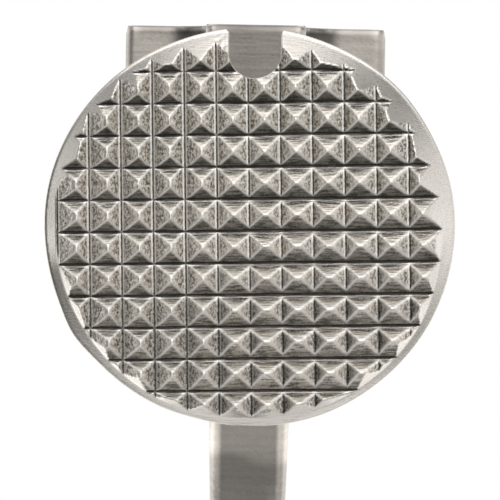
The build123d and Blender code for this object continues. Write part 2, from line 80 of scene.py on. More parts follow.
# Tips turned over into burrs: place across and up the grid, and radius.
burrs = ((1.5, 13.4, 0.26), (4.5, 13.4, 0.26), (1.5, 10.4, 0.28), (4.5, 10.4, 0.22), (-1.5, 13.4, 0.2),
         (7.5, 13.4, 0.2), (7.6, 10.4, 0.2), (-7.5, 10.5, 0.18), (-10.5, 4.5, 0.18), (10.4, 7.5, 0.2))

# Where the ground bevel starts and where it reaches the depth of the grooves, round the face from +X.
bevel_rows = (
    (-180, 16.4, 18.1),
    (-165, 17.2, 18.2),
    (-140, 17.7, 18.35),
    (-115, 17.75, 18.65),
    (-90, 17.45, 18.45),
    (-65, 17.75, 18.7),
    (-30, 17.7, 18.55),
    (-10, 17.15, 18.15),
    (10, 16.1, 17.9),
    (60, 16.35, 18.15),
    (100, 16.2, 18.0),
    (130, 16.8, 18.6),
    (160, 16.65, 18.45),
    (180, 16.4, 18.1),
)
rim_edge = 0.20
notch_edge = 0.09

notch_radius = 2.475
notch_shift = -0.07
notch_depth = 4.75
notch_centre = face_half_height - notch_depth + notch_radius
post_half = 6.97
post_corner = 2.5
post_end = (face_high.y - face_low.y) / MM
post_chamfer = 0.8
post_points = 96
screw_flat_start = face_thickness + 3.0
screw_flat_near = 2.82
screw_flat_far = 0.55
seat_scale = 1 - face_back_bevel / face_half_width


def bump_at(angle, middle, width, height):
    """A smooth local rise on a curve round the face: angles in degrees, from +X towards +Z."""
    away = (np.degrees(angle) - middle + 180) % 360 - 180
    return height * np.exp(-((away / width) ** 2))


def rim_radius(angle):
    """Radius of the outline, for a face as wide as it is high, with the rises and flats of hand grinding."""
    rises = bump_at(angle, -147, 7, 0.24) + bump_at(angle, 45, 13, 0.16) + bump_at(angle, -105, 9, -0.14)
    return face_half_width + rises + 0.03 * np.sin(5 * angle + 0.6) + 0.02 * np.sin(9 * angle)


def round_coordinates(x, z):
    """Distance from the disc's centre, with the height stretched to make the outline round, and the angle."""
    wide, high = x - face_outline_shift, z * face_half_width / face_half_height
    return np.hypot(wide, high), np.arctan2(high, wide)


def outline_distance(x, z):
    """Distance outside the disc and the notch, negative on the metal, with the edge's rounding taken off."""
    radius, angle = round_coordinates(x, z)
    outside = radius - rim_radius(angle) + rim_edge
    wall = np.abs(x - notch_shift) - notch_radius
    bowl = np.hypot(x - notch_shift, z - notch_centre) - notch_radius
    in_notch = notch_edge - np.where(z > notch_centre, wall, bowl)
    return np.maximum(outside, in_notch), in_notch > outside


def outward(x, z):
    """Unit vector out of the metal at the outline."""
    step = 0.02
    gx = outline_distance(x + step, z)[0] - outline_distance(x - step, z)[0]
    gz = outline_distance(x, z + step)[0] - outline_distance(x, z - step)[0]
    size = np.maximum(np.hypot(gx, gz), 1e-9)
    return gx / size, gz / size


def soft_max(a, b, softness):
    """The larger of two depths, with the corner between them worn round."""
    near = np.maximum(softness - np.abs(a - b), 0) / softness
    return np.maximum(a, b) + near * near * softness / 4


def fine_noise(u, v, seed, scale_u, scale_v):
    """Smooth random relief in -1 to 1, with the given grain size along each direction."""
    rng = np.random.default_rng(seed)
    table = rng.uniform(-1, 1, (256, 256))
    a, b = u / scale_u + 100, v / scale_v + 100
    i, j = np.floor(a).astype(int), np.floor(b).astype(int)
    s, t = a - i, b - j
    s, t = s * s * (3 - 2 * s), t * t * (3 - 2 * t)
    low = table[i % 256, j % 256] * (1 - s) + table[(i + 1) % 256, j % 256] * s
    high = table[i % 256, (j + 1) % 256] * (1 - s) + table[(i + 1) % 256, (j + 1) % 256] * s
    return low * (1 - t) + high * t


def fade(value, low, high):
    """0 below low and 1 above high, with a smooth change between them."""
    share = np.clip((value - low) / (high - low), 0, 1)
    return share * share * (3 - 2 * share)


def ridge_at(away, width):
    """1 at no distance, falling smoothly to 0 over about twice the width."""
    return np.exp(-((away / width) ** 2))


def face_relief(x, z):
    """Depth of the front of the face behind its tips, and the marks that the finish follows."""
    u = x * math.cos(grid_turn) + z * math.sin(grid_turn) - face_outline_shift
    v = -x * math.sin(grid_turn) + z * math.cos(grid_turn) + grid_drop
    radius, angle = round_coordinates(x, z)
    v = v + 0.03 * fine_noise(u, v, 3, 5.0, 5.0)
    wear = np.clip(0.45 + 0.016 * (u - 1.3 * v) + 0.25 * fine_noise(u, v, 5, 5.0, 5.0), 0.1, 1)

    # Grooves across the face, with a fine crack along each floor. The tips between them lean a little
    # towards the face's middle.
    k = np.floor(v / tooth_pitch)
    above, below = v - k * tooth_pitch, (k + 1) * tooth_pitch - v
    apex = tooth_pitch / 2 - apex_lean * v
    rising, falling = 1 - above / apex, 1 - below / (tooth_pitch - apex)
    across = soft_max(groove_depth * rising, groove_depth * falling, 0.07 + 0.10 * wear)
    gap = np.minimum(above, below)
    across += 0.04 * ridge_at(gap, 0.07) - 0.012 * ridge_at(below - 0.20, 0.06)

    # Upright grooves, cut deeper on the left and near the top. They have round floors, a fine slit along
    # each and a raised lip beside it. The material paints highlights beside the slits.
    left_depth = 1.40 + 0.14 * fade(v, -2, 8)
    right_depth = 1.01 + 0.08 * fade(-v, 11, 17) + 0.40 * fade(v, -4, 18) + 0.08 * fade(u, 9, 14)
    upright_depth = left_depth + (right_depth - left_depth) * fade(u, -7, 1)
    k = np.floor(u / tooth_pitch)
    left, right = u - k * tooth_pitch, (k + 1) * tooth_pitch - u
    lean = apex_lean * u * upright_slope
    upright_gap = np.minimum(left, right)
    blunt = np.hypot(upright_gap, 0.17) - upright_gap - 0.04
    from_left, from_right = left * (upright_slope + lean), right * (upright_slope - lean)
    upright = soft_max(upright_depth - from_left, upright_depth - from_right, 0.10)
    upright -= upright_slope * np.maximum(blunt, 0)
    upright += 0.06 * ridge_at(upright_gap, 0.07) - 0.03 * ridge_at(upright_gap - 0.18, 0.06)

    # The teeth that both sets leave, with the cutter's streaks on them and burrs on some tips.
    is_across = across > upright
    streaks = fine_noise(u, v, 11, 1.3, 0.24) * np.clip(fine_noise(u, v, 12, 6.0, 6.0) + 0.5, 0, 1)
    speckle = fine_noise(u, v, 13, 0.26, 0.40)
    teeth = np.maximum(soft_max(across, upright, 0.11 + 0.10 * wear), 0.0)
    teeth += np.where(is_across, 0.016 * streaks + 0.005 * speckle, 0.012 * speckle)
    burr = np.zeros_like(teeth)
    for bu, bv, size in burrs:
        away = np.hypot(u - bu, v - bv) / size
        button = np.exp(-(away ** 4))
        burr = np.maximum(burr, button)
        teeth -= 0.07 * button - 0.05 * ridge_at(away - 1.25, 0.3) * (v > bv)

    # The bevel round them, rounded over where it is steep, with a scar near the top.
    row_angles, row_starts, row_ends = zip(*bevel_rows)
    start = np.interp(np.degrees(angle), row_angles, row_starts)
    end = np.interp(np.degrees(angle), row_angles, row_ends)
    bevel = groove_depth * (radius - start) / (end - start)
    flatter = groove_depth + 0.5 * (radius - end)
    steep = 1 - fade(end - start, 0.9, 1.7)
    bevel += steep * (-soft_max(-bevel, -flatter, 0.12) - bevel)
    bevel += 0.02 * fine_noise(radius, angle * 16, 21, 2.0, 3.0)
    scar = ridge_at(x + 3.2, 0.8) * fade(z, 15.6, 16.4)
    bevel += 0.05 * scar * fine_noise(x, z, 22, 0.25, 0.25)
    depth = soft_max(teeth, bevel, 0.03)
    ground = np.clip((bevel - teeth) / 0.05 + 0.5, 0, 1)

    # How light each side of a tooth is, as painted light and shade: lighter or darker by the way the side
    # faces, darker deeper in the grooves, and changing across the face.
    faces_down = is_across & (above < apex)
    faces_left = ~is_across & (left < tooth_pitch / 2)
    deep = np.clip(teeth / groove_depth, 0, 1)
    faces_up_light = (1.28 - 0.52 * deep) * np.exp(0.010 * v)
    low_left = fade(-v, 2, 8) * (1 - fade(u, -4, 6))
    painted_light = np.where(is_across, faces_up_light, (1.34 - 0.34 * deep) * (1 - 0.12 * low_left))
    painted_light = np.where(faces_down, 0.92 * np.exp(-0.044 * v - 1.45 * deep), painted_light)
    shaded = fade(-v, 3, 9) * fade(u, -9, -2)
    painted_light = np.where(faces_left, (1.55 - 0.40 * deep) * np.exp(-0.008 * u) * (1 - 0.50 * shaded), painted_light)
    streaked = np.where(is_across, 0.12 + 0.88 * fade(deep, 0.30, 0.75), 0.55 + 0.45 * fade(deep, 0.2, 0.7))
    streaked = np.where(faces_down, 0.85, streaked)

    # Worn lines where the two sets of grooves meet and along the crests, lightened as wear and as painted
    # highlight.
    crest_wear_and_sheen = ridge_at(across - upright, 0.09 + 0.09 * wear)
    crest = np.where(is_across, ridge_at(across - 0.02, 0.14), 0)
    crest_wear_and_sheen = np.maximum(crest_wear_and_sheen, crest * wear)
    crest_wear_and_sheen = crest_wear_and_sheen * np.clip((1.35 - teeth) / 0.35, 0.2, 1)
    return depth, {
        "along_u": u,
        "along_v": v,
        "ground": ground,
        "crest_wear_and_sheen": np.maximum(crest_wear_and_sheen, burr) * (1 - ground),
        "across": np.clip((across - upright) / 0.06 + 0.5, 0, 1),
        "painted_light": painted_light,
        "streaked": streaked,
    }


def boundary_loop(quads):
    """The vertices round a patch of quads, in order."""
    sides = {}
    for quad in quads:
        for side in zip(quad, (*quad[1:], quad[0])):
            sides[side] = True
    following = {a: b for a, b in sides if (b, a) not in sides}
    start = next(iter(following))
    loop, here = [start], following[start]
    while here != start:
        loop.append(here)
        here = following[here]
    return loop


def post_outline(flat_depth):
    """Points round the post, with the screw's sloping flat taken off its +X side."""
    points = []
    for i in range(post_points):
        angle = 2 * math.pi * i / post_points
        c, s = math.cos(angle), math.sin(angle)
        straight = post_half - post_corner
        reach = post_half / max(abs(c), abs(s))
        x, z = c * reach, s * reach
        if abs(x) > straight and abs(z) > straight:
            cx, cz = math.copysign(straight, x), math.copysign(straight, z)
            far = math.hypot(x - cx, z - cz)
            x, z = cx + (x - cx) / far * post_corner, cz + (z - cz) / far * post_corner
        points.append((min(x, post_half - flat_depth), z))
    return points


def paint(mesh, name, values):
    """Keeps a value for each vertex under that name."""
    layer = mesh.attributes.new(name, "FLOAT", "POINT")
    layer.data.foreach_set("value", np.asarray(values, np.float32))


def front_grid():
    """Points and quads over the front of the face, on the milled grid, and the loop round them."""
    reach = int((face_half_width + 1) / grid_step)
    ticks = np.arange(-reach, reach + 1) * grid_step
    u, v = np.meshgrid(ticks + face_outline_shift, ticks - grid_drop)
    x = u * math.cos(grid_turn) - v * math.sin(grid_turn)
    z = u * math.sin(grid_turn) + v * math.cos(grid_turn)
    keep = outline_distance(x, z)[0] < 0.35 * grid_step
    row, column = np.nonzero(keep[:-1, :-1] & keep[:-1, 1:] & keep[1:, 1:] & keep[1:, :-1])
    corner = row * x.shape[1] + column
    quads = np.stack([corner, corner + 1, corner + x.shape[1] + 1, corner + x.shape[1]], axis=1)
    used, renumbered = np.unique(quads, return_inverse=True)
    quads = renumbered.reshape(-1, 4).tolist()
    x, z = x.ravel()[used], z.ravel()[used]
    loop = np.array(boundary_loop(quads))
    for _ in range(3):
        nx, nz = outward(x[loop], z[loop])
        off = outline_distance(x[loop], z[loop])[0]
        x[loop] -= nx * off
        z[loop] -= nz * off
    return x, z, quads, loop


def seat_place(x, z, in_notch):
    """Where the wall's points come to on the seat, inside the bevel at the back of the face."""
    seat_x = np.where(in_notch, x, (x - face_outline_shift) * seat_scale)
    from_wall = seat_x - notch_shift
    beside = notch_shift + np.sign(seat_x) * np.maximum(np.abs(from_wall), notch_radius)
    seat_x = np.where(~in_notch & (z > notch_centre), beside, seat_x)
    seat_high, seat_wide = face_half_height * seat_scale, face_half_width * seat_scale
    on_seat = seat_high * np.sqrt(np.maximum(1 - (seat_x / seat_wide) ** 2, 0))
    on_wall = (np.abs(seat_x - notch_shift) <= notch_radius) & (z > 0)
    return seat_x, np.where(in_notch | on_wall, np.minimum(z, on_seat), z * seat_scale)


def side_rings(x, y, z):
    """Rings of points from the front's edge, over its rounding and down the wall, to the seat."""
    nx, nz = outward(x, z)
    in_notch = outline_distance(x, z)[1]
    edge = np.where(in_notch, notch_edge, rim_edge)
    rings = []
    for turn in np.arange(1, 5) * math.pi / 8:
        out = edge * math.sin(turn)
        rings.append((x + nx * out, y + edge * (1 - math.cos(turn)), z + nz * out))
    x, y, z = rings[-1]
    back = face_thickness - face_back_bevel
    for wall_y in (5.0, back - 0.15):
        rings.append((x, np.full_like(y, wall_y), z))
    seat_x, seat_z = seat_place(x, z, in_notch)
    for share in (0.06, 1.0):
        ring_y = back + face_back_bevel * share
        rings.append((x + (seat_x - x) * share, np.full_like(y, ring_y), z + (seat_z - z) * share))
    return [np.stack(ring, axis=1) for ring in rings]


def bridged(first, second):
    """Quads between two rings with the same number of points."""
    return list(zip(first[1:] + first[:1], first, second, second[1:] + second[:1]))


def striking_face_mesh():
    """The whole face as one closed mesh: teeth, ground rim, notch, back bevel, seat and post."""
    x, z, faces, loop = front_grid()
    depth, marks = face_relief(x, z)
    points = [np.stack([x, depth, z], axis=1)]
    total = len(x)

    last = loop.tolist()
    for ring in side_rings(x[loop], depth[loop], z[loop]):
        here = list(range(total, total + len(ring)))
        faces += bridged(last, here)
        points.append(ring)
        total += len(ring)
        last = here

    stations = (
        (face_thickness, 0.0, 1.0),
        (screw_flat_start, 0.0, 1.0),
        (screw_flat_start + 0.01, screw_flat_near, 1.0),
        (post_end - post_chamfer, screw_flat_far, 1.0),
        (post_end, screw_flat_far, 0.9),
    )
    posts = []
    for y, flat_depth, size in stations:
        points.append(np.array([(px * size, y, pz * size) for px, pz in post_outline(flat_depth)]))
        posts.append(list(range(total, total + post_points)))
        total += post_points
    seat = [Vector((px, pz, 0)) for px, py, pz in ring]
    hole = [Vector((px, pz, 0)) for px, pz in post_outline(0.0)]
    around = last + posts[0]
    faces += [tuple(around[i] for i in triangle) for triangle in tessellate_polygon([seat, hole])]
    for near, far in zip(posts[:-1], posts[1:]):
        faces += bridged(near, far)
    faces.append(posts[-1])

    mesh = bpy.data.meshes.new("striking_face_milled")
    mesh.from_pydata((np.concatenate(points) * MM).tolist(), [], faces)
    mesh.transform(Matrix.Translation(face_centre))
    shell = bmesh.new()
    shell.from_mesh(mesh)
    bmesh.ops.recalc_face_normals(shell, faces=shell.faces)
    for face in shell.faces:
        face.smooth = True
    shell.to_mesh(mesh)
    shell.free()
    for name, values in marks.items():
        behind = 1.0 if name == "ground" else 0.0
        paint(mesh, name, np.concatenate([values, np.full(total - len(values), behind)]))
    return mesh


class Finish:
    """A new material with a principled shader, and short ways to add and join its nodes."""

    def __init__(self, name, metallic, roughness):
        self.material = bpy.data.materials.new(name)
        self.material.use_nodes = True
        self.tree = self.material.node_tree
        self.shader = self.tree.nodes["Principled BSDF"]
        self.shader.inputs["Metallic"].default_value = metallic
        self.shader.inputs["Roughness"].default_value = roughness
        self.coordinates = self.node("ShaderNodeTexCoord").outputs["Object"]

    def node(self, kind, **settings):
        made = self.tree.nodes.new(kind)
        for key, value in settings.items():
            setattr(made, key, value)
        return made

    def join(self, value, socket):
        """Links a socket, or sets a plain number or colour."""
        if isinstance(value, bpy.types.NodeSocket):
            self.tree.links.new(value, socket)
        else:
            socket.default_value = value

    def mark(self, name):
        """The value painted on the mesh under that name."""
        return self.node("ShaderNodeAttribute", attribute_name=name).outputs["Fac"]

    def stretched(self, x, y, z, turn=0.0):
        """Object coordinates in millimetres, divided by a grain size along each axis."""
        mapping = self.node("ShaderNodeMapping", vector_type="POINT")
        self.join(self.coordinates, mapping.inputs["Vector"])
        mapping.inputs["Scale"].default_value = (1000 / x, 1000 / y, 1000 / z)
        mapping.inputs["Rotation"].default_value = (0, turn, 0)
        return mapping.outputs["Vector"]

    def place(self, a, b, grain_a, grain_b):
        """A texture position from two measured distances, divided by a grain size along each."""
        made = self.node("ShaderNodeCombineXYZ")
        self.join(self.math("DIVIDE", a, grain_a), made.inputs["X"])
        self.join(self.math("DIVIDE", b, grain_b), made.inputs["Y"])
        return made.outputs["Vector"]

    def noise(self, vector, detail=2.0, roughness=0.5):
        made = self.node("ShaderNodeTexNoise", noise_dimensions="3D")
        self.join(vector, made.inputs["Vector"])
        made.inputs["Scale"].default_value = 1.0
        made.inputs["Detail"].default_value = detail
        made.inputs["Roughness"].default_value = roughness
        return made.outputs["Fac"]

    def math(self, operation, a, b):
        made = self.node("ShaderNodeMath", operation=operation)
        self.join(a, made.inputs[0])
        self.join(b, made.inputs[1])
        return made.outputs[0]

    def spread(self, value, low, high, to_low=0.0, to_high=1.0):
        """value mapped from one range to another, and held inside it."""
        made = self.node("ShaderNodeMapRange", clamp=True)
        for setting, socket in zip((value, low, high, to_low, to_high), made.inputs):
            self.join(setting, socket)
        return made.outputs[0]

    def blend(self, share, a, b):
        """Colour a where share is 0 and b where it is 1."""
        made = self.node("ShaderNodeMix", data_type="RGBA")
        self.join(share, made.inputs[0])
        for value, socket in ((a, made.inputs[6]), (b, made.inputs[7])):
            if not isinstance(value, bpy.types.NodeSocket):
                value = (*value, 1.0)
            self.join(value, socket)
        return made.outputs[2]

    def tint(self, colour, share):
        """A colour made darker or lighter by that share."""
        made = self.node("ShaderNodeVectorMath", operation="SCALE")
        self.join(colour, made.inputs[0])
        self.join(share, made.inputs["Scale"])
        return made.outputs[0]

    def bump(self, height, distance, strength):
        """Adds relief of that many millimetres to the surface."""
        made = self.node("ShaderNodeBump")
        made.inputs["Strength"].default_value = strength
        made.inputs["Distance"].default_value = distance * MM
        self.join(height, made.inputs["Height"])
        return made.outputs["Normal"]

    def set(self, **sockets):
        """Joins the shader's sockets, named with underscores, and gives the material back."""
        for name, value in sockets.items():
            self.join(value, self.shader.inputs[name.replace("_", " ")])
        return self.material


def milled_steel():
    """Milled teeth with cutter streaks and painted light and shade on their sides, dirt and painted shade in
    the grooves, painted highlights beside them and worn ridges lit with painted highlight, inside a ground
    rim.
    """
    f = Finish("milled_steel", 1.0, 0.34)

    def groove_line(distance, place, inner, outer):
        """1 on a line along each groove, at that place beside its middle, and 0 away from it."""
        away = f.math("PINGPONG", f.math("SUBTRACT", distance, place), tooth_pitch / 2)
        return f.spread(away, inner, outer, 1.0, 0.0)

    u, v = f.mark("along_u"), f.mark("along_v")
    ground, crest_wear_and_sheen, across = f.mark("ground"), f.mark("crest_wear_and_sheen"), f.mark("across")
    upright = f.math("SUBTRACT", 1.0, across)

    grain = f.noise(f.place(u, v, 0.20, 0.20), detail=2.0, roughness=0.6)
    cut_across = f.noise(f.place(u, v, 1.5, 0.19), detail=2.0, roughness=0.6)
    cut_upright = f.noise(f.place(u, v, 0.19, 0.40), detail=2.0, roughness=0.6)
    patchy = f.noise(f.place(u, v, 1.6, 0.7), detail=2.0)
    cloud = f.noise(f.place(u, v, 5.0, 5.0), detail=3.0)

    patch = f.math("MULTIPLY", f.math("SUBTRACT", patchy, 0.5), 0.45)
    grit = f.math("MULTIPLY", f.spread(grain, 0.4, 0.6), 0.35)
    streak = f.spread(f.math("ADD", cut_across, patch), 0.42, 0.56)
    streak = f.math("ADD", f.math("MULTIPLY", streak, 0.65), grit)
    speck = f.spread(cut_upright, 0.42, 0.57)
    speck = f.math("ADD", f.math("MULTIPLY", speck, 0.65), grit)
    texture = f.math("ADD", f.math("MULTIPLY", streak, across), f.math("MULTIPLY", speck, upright))
    clean = f.math("MULTIPLY", f.math("SUBTRACT", 1.0, texture), f.mark("streaked"))
    texture = f.math("SUBTRACT", 1.0, clean)
    metal = f.blend(texture, (0.060, 0.055, 0.048), (0.64, 0.605, 0.555))
    metal = f.blend(f.spread(cloud, 0.4, 0.75, 0.0, 0.2), metal, (0.36, 0.345, 0.32))
    # Painted light and shade: each side of a tooth made lighter or darker by the way it faces and how deep it
    # lies.
    metal = f.tint(metal, f.mark("painted_light"))

    # Crests and burrs lightened as wear and as painted highlight.
    worn_and_highlit = f.blend(f.math("MULTIPLY", crest_wear_and_sheen, 0.9), metal, (0.74, 0.715, 0.685))

    # Dark cracks along the floors of the grooves, painted as dirt and as shade, floors darker towards the
    # bottom, and bright lines beside them as painted highlights.
    low = f.spread(v, -3.0, -9.0, 0.0, 1.0)
    crack = f.math("MULTIPLY", groove_line(v, 0.03, 0.10, 0.15), across)
    slit = f.math("MULTIPLY", groove_line(u, 0.02, 0.04, 0.10), upright)
    low_floor_dark = f.math("MULTIPLY", f.math("MULTIPLY", groove_line(u, 0.02, 0.06, 0.22), upright), low)
    slit = f.math("MAXIMUM", slit, f.math("MULTIPLY", low_floor_dark, f.spread(grain, 0.40, 0.60, 1.0, 0.3)))
    lip_highlight = f.math("MULTIPLY", groove_line(v, -0.19, 0.05, 0.10), across)
    upright_highlight = f.math("MULTIPLY", groove_line(u, -0.14, 0.03, 0.10), upright)
    upright_highlight = f.math("MULTIPLY", upright_highlight, f.spread(low, 0.0, 1.0, 1.0, 0.25))
    second = f.math("MULTIPLY", groove_line(u, 0.16, 0.03, 0.10), f.spread(u, -2.0, 4.0, 0.9, 0.0))
    painted_highlight = f.math("MAXIMUM", lip_highlight, f.math("MAXIMUM", upright_highlight, f.math("MULTIPLY", second, upright)))
    cut = f.blend(f.math("MULTIPLY", painted_highlight, 0.9), worn_and_highlit, (0.98, 0.96, 0.93))
    cut = f.blend(f.math("MULTIPLY", f.math("MAXIMUM", crack, slit), 0.92), cut, (0.02, 0.018, 0.016))

    brush = f.noise(f.stretched(2.5, 0.12, 0.12, turn=math.radians(40)), detail=3.0, roughness=0.7)
    rim = f.blend(cloud, (0.58, 0.555, 0.525), (0.74, 0.715, 0.68))
    rim = f.blend(f.spread(brush, 0.50, 0.68, 0.0, 0.45), rim, (0.36, 0.34, 0.31))
    colour = f.blend(ground, cut, rim)

    fine = f.math("ADD", f.math("MULTIPLY", cut_across, across), f.math("MULTIPLY", cut_upright, upright))
    fine = f.math("ADD", fine, f.math("MULTIPLY", grain, 0.4))
    milled = f.math("MULTIPLY", fine, f.math("SUBTRACT", 1.0, ground))
    both = f.math("ADD", milled, f.math("MULTIPLY", f.math("MULTIPLY", brush, 0.40), ground))
    rough = f.spread(texture, 0.0, 1.0, 0.46, 0.34)
    rough = f.spread(crest_wear_and_sheen, 0.0, 1.0, rough, 0.38)
    rough = f.spread(ground, 0.0, 1.0, rough, 0.20)
    return f.set(Base_Color=colour, Roughness=rough, Normal=f.bump(both, 0.06, 0.9))


striking_face = bpy.data.objects.new("striking_face_milled", striking_face_mesh())
bpy.context.collection.objects.link(striking_face)
striking_face.data.materials.append(milled_steel())
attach(striking_face, "face")
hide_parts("striking_face")

# ---------------------------------------------------------------- head and handle
# One titanium casting: neck, cheek, nail stop, claws, I-beam handle and the tang inside the grip.
# It is bead-blasted to a warm matt grey, with painted light and shade over it: edges lightened as wear and as
# painted highlight, corners darkened as painted shade.
stop_half_width = 5.0
stop_back = -14.0
claws_front = 6.0
axis_height = face_centre.z / MM


def softened(node, voxel, steps, keep):
    """A closed copy of a CAD node with even facets and its edges rounded."""
    copy = bpy.data.objects.new(node + "_shaped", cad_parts[node].data.copy())
    bpy.context.collection.objects.link(copy)
    even = copy.modifiers.new("even", "REMESH")
    even.mode = "VOXEL"
    even.voxel_size = voxel * MM
    soft = copy.modifiers.new("soft", "SMOOTH")
    soft.factor, soft.iterations = 0.5, steps
    if keep < 1:
        fewer = copy.modifiers.new("fewer", "DECIMATE")
        fewer.ratio = keep
    baked = bpy.data.meshes.new_from_object(copy.evaluated_get(bpy.context.evaluated_depsgraph_get()))
    copy.modifiers.clear()
    copy.data = baked
    baked.materials.clear()
    for polygon in baked.polygons:
        polygon.use_smooth = True
        polygon.material_index = 0
    return copy


def vertex_array(mesh, kind="co"):
    """The vertices' places in millimetres, or their normals."""
    values = np.empty(len(mesh.vertices) * 3, np.float32)
    if kind == "co":
        mesh.vertices.foreach_get("co", values)
        return values.reshape(-1, 3) / MM
    mesh.vertex_normals.foreach_get("vector", values)
    return values.reshape(-1, 3)


def bend(mesh, reach):
    """How sharply the surface bends: 1 on an outer edge of that radius, and -1 in such a corner."""
    places, normals = vertex_array(mesh), vertex_array(mesh, "normal")
    ends = np.empty(len(mesh.edges) * 2, np.int32)
    mesh.edges.foreach_get("vertices", ends)
    a, b = ends.reshape(-1, 2).T
    along = places[b] - places[a]
    size = np.maximum((along ** 2).sum(1), 1e-6)
    turn = ((normals[b] - normals[a]) * along).sum(1) / size
    total, count = np.zeros(len(places)), np.zeros(len(places))
    for ends_of in (a, b):
        np.add.at(total, ends_of, turn)
        np.add.at(count, ends_of, 1)
    turned = total / np.maximum(count, 1)
    for _ in range(2):
        total[:] = turned
        count[:] = 1
        np.add.at(total, a, turned[b])
        np.add.at(total, b, turned[a])
        np.add.at(count, a, 1)
        np.add.at(count, b, 1)
        turned = total / count
    return np.clip(turned * reach, -1, 1)


def body_painted_light(places):
    """How light the blasted surface is, as painted light and shade: darker on the nail stop, in the corners
    at the wing roots and along the top.
    """
    x, y, z = places[:, 0], places[:, 1], places[:, 2] - axis_height
    beside = np.abs(x)
    on_stop = 1 - fade(beside, stop_half_width, stop_half_width + 0.3)
    on_stop *= (1 - fade(y, stop_back + 1, stop_back + 3)) * fade(z, 3, 6)
    on_root = fade(beside, stop_half_width, stop_half_width + 0.8) * (1 - fade(beside, 7.6, 9.4))
    on_root *= 1 - fade(y, claws_front + 1, claws_front + 4)
    on_root *= fade(y, stop_back + 4, stop_back + 10) * fade(z, 6, 10)
    on_top = fade(z, 20.0, 20.6)
    # Painted shade on the nail stop, at the wing roots and along the top.
    painted_light = (0.90 - 0.34 * on_stop - 0.60 * on_root) * (1 - 0.35 * on_top)
    # Painted light on the front of the handle: darker below a slanting line and lighter above it, with
    # painted highlights on its flanges' edges.
    on_front = (1 - fade(z, -22, -14)) * (1 - fade(y, -9.5, -8.0))
    lighter_above = fade(z + 0.12 * x + 0.3 * np.sin(0.9 * x), -24.0, -22.6)
    flange_highlight = fade(beside, 2.72, 2.95) + 0.5 * fade(x, 1.9, 2.2) * fade(-z, 24, 32)
    return painted_light * (1 - on_front * (0.50 - 0.38 * lighter_above)) * (1 + 1.25 * on_front * flange_highlight)


def blasted_titanium():
    """Matt grey titanium, with edges lightened as wear and painted highlight, painted shade in its corners,
    cloudy patches and faint file marks on the nail stop.
    """
    f = Finish("blasted_titanium", 1.0, 0.5)
    edge, painted_light = f.mark("edge"), f.mark("painted_light")
    grain = f.noise(f.stretched(0.35, 0.35, 0.35), detail=3.0, roughness=0.6)
    cloud = f.noise(f.stretched(5.0, 5.0, 8.0), detail=4.0, roughness=0.55)
    filed = f.noise(f.stretched(6.0, 6.0, 0.55), detail=1.0)
    base = f.blend(f.spread(cloud, 0.3, 0.7), (0.33, 0.31, 0.285), (0.43, 0.405, 0.375))
    base = f.blend(f.math("MULTIPLY", f.spread(grain, 0.35, 0.7), 0.5), base, (0.50, 0.475, 0.445))
    base = f.blend(f.math("MULTIPLY", f.spread(filed, 0.4, 0.6), 0.22), base, (0.56, 0.53, 0.50))
    # Painted light and shade, kept on the mesh for each vertex.
    base = f.tint(base, painted_light)
    # Edges lightened as wear and as painted highlight.
    worn_and_highlit = f.blend(f.spread(edge, 0.2, 0.7, 0.0, 0.55), base, (0.66, 0.63, 0.59))
    # Painted shade: inner corners made nearly black.
    colour = f.blend(f.spread(edge, -0.12, -0.6, 0.0, 0.8), worn_and_highlit, (0.09, 0.085, 0.075))
    rough = f.spread(edge, 0.1, 0.5, 0.50, 0.36)
    height = f.math("ADD", grain, f.math("MULTIPLY", filed, 1.6))
    return f.set(Base_Color=colour, Roughness=rough, Normal=f.bump(height, 0.035, 0.7))


hammer_body = softened("hammer_body", 0.42, 1, 0.42)
paint(hammer_body.data, "edge", bend(hammer_body.data, 0.9))
paint(hammer_body.data, "painted_light", body_painted_light(vertex_array(hammer_body.data)))
hammer_body.data.materials.append(blasted_titanium())
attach(hammer_body, "hammer")
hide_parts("hammer_body")

# ---------------------------------------------------------------- face lock screw and nail magnet
# A blackened steel set screw in the right side of the neck holds the face, and turns on a hexagonal key.
# A nickel-plated disc magnet is pressed into the floor of the nail groove.


def dress(node, material):
    """Gives a CAD node one material over its whole surface."""
    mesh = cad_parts[node].data
    mesh.materials.clear()
    mesh.materials.append(material)
    for polygon in mesh.polygons:
        polygon.material_index = 0


def turned_steel(name, dark, light, roughness):
    """Turned steel: fine rings round X, a little grime and small scratches."""
    f = Finish(name, 1.0, roughness)
    rings = f.noise(f.stretched(0.15, 3.0, 3.0), detail=2.0)
    grime = f.noise(f.stretched(1.4, 1.4, 1.4), detail=4.0, roughness=0.6)
    scratch = f.noise(f.stretched(0.9, 0.12, 1.5, turn=0.6), detail=2.0)
    colour = f.blend(f.spread(grime, 0.35, 0.65), dark, light)
    colour = f.blend(f.math("MULTIPLY", f.spread(scratch, 0.62, 0.72), 0.5), colour, (0.70, 0.68, 0.66))
    rough = f.spread(grime, 0.3, 0.7, roughness + 0.12, roughness)
    return f.set(Base_Color=colour, Roughness=rough, Normal=f.bump(f.math("ADD", rings, scratch), 0.02, 0.5))


dress("face_lock_screw", turned_steel("blackened_steel", (0.035, 0.035, 0.038), (0.10, 0.10, 0.105), 0.34))
dress("nail_magnet", turned_steel("nickel_plate", (0.50, 0.49, 0.46), (0.72, 0.70, 0.66), 0.20))

# ---------------------------------------------------------------- grip sleeve
# Soft black rubber moulded as a sleeve and slid over the core, with a window over each screw head.
# Shallow slanting channels are moulded in its sides, and palms have polished the lands between them.
sleeve_low, sleeve_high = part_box("grip_sleeve")
screws_low, screws_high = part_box("grip_screws")
screw_head_radius = 4.8
channel_depth = 0.55
channel_pitch = 7.5


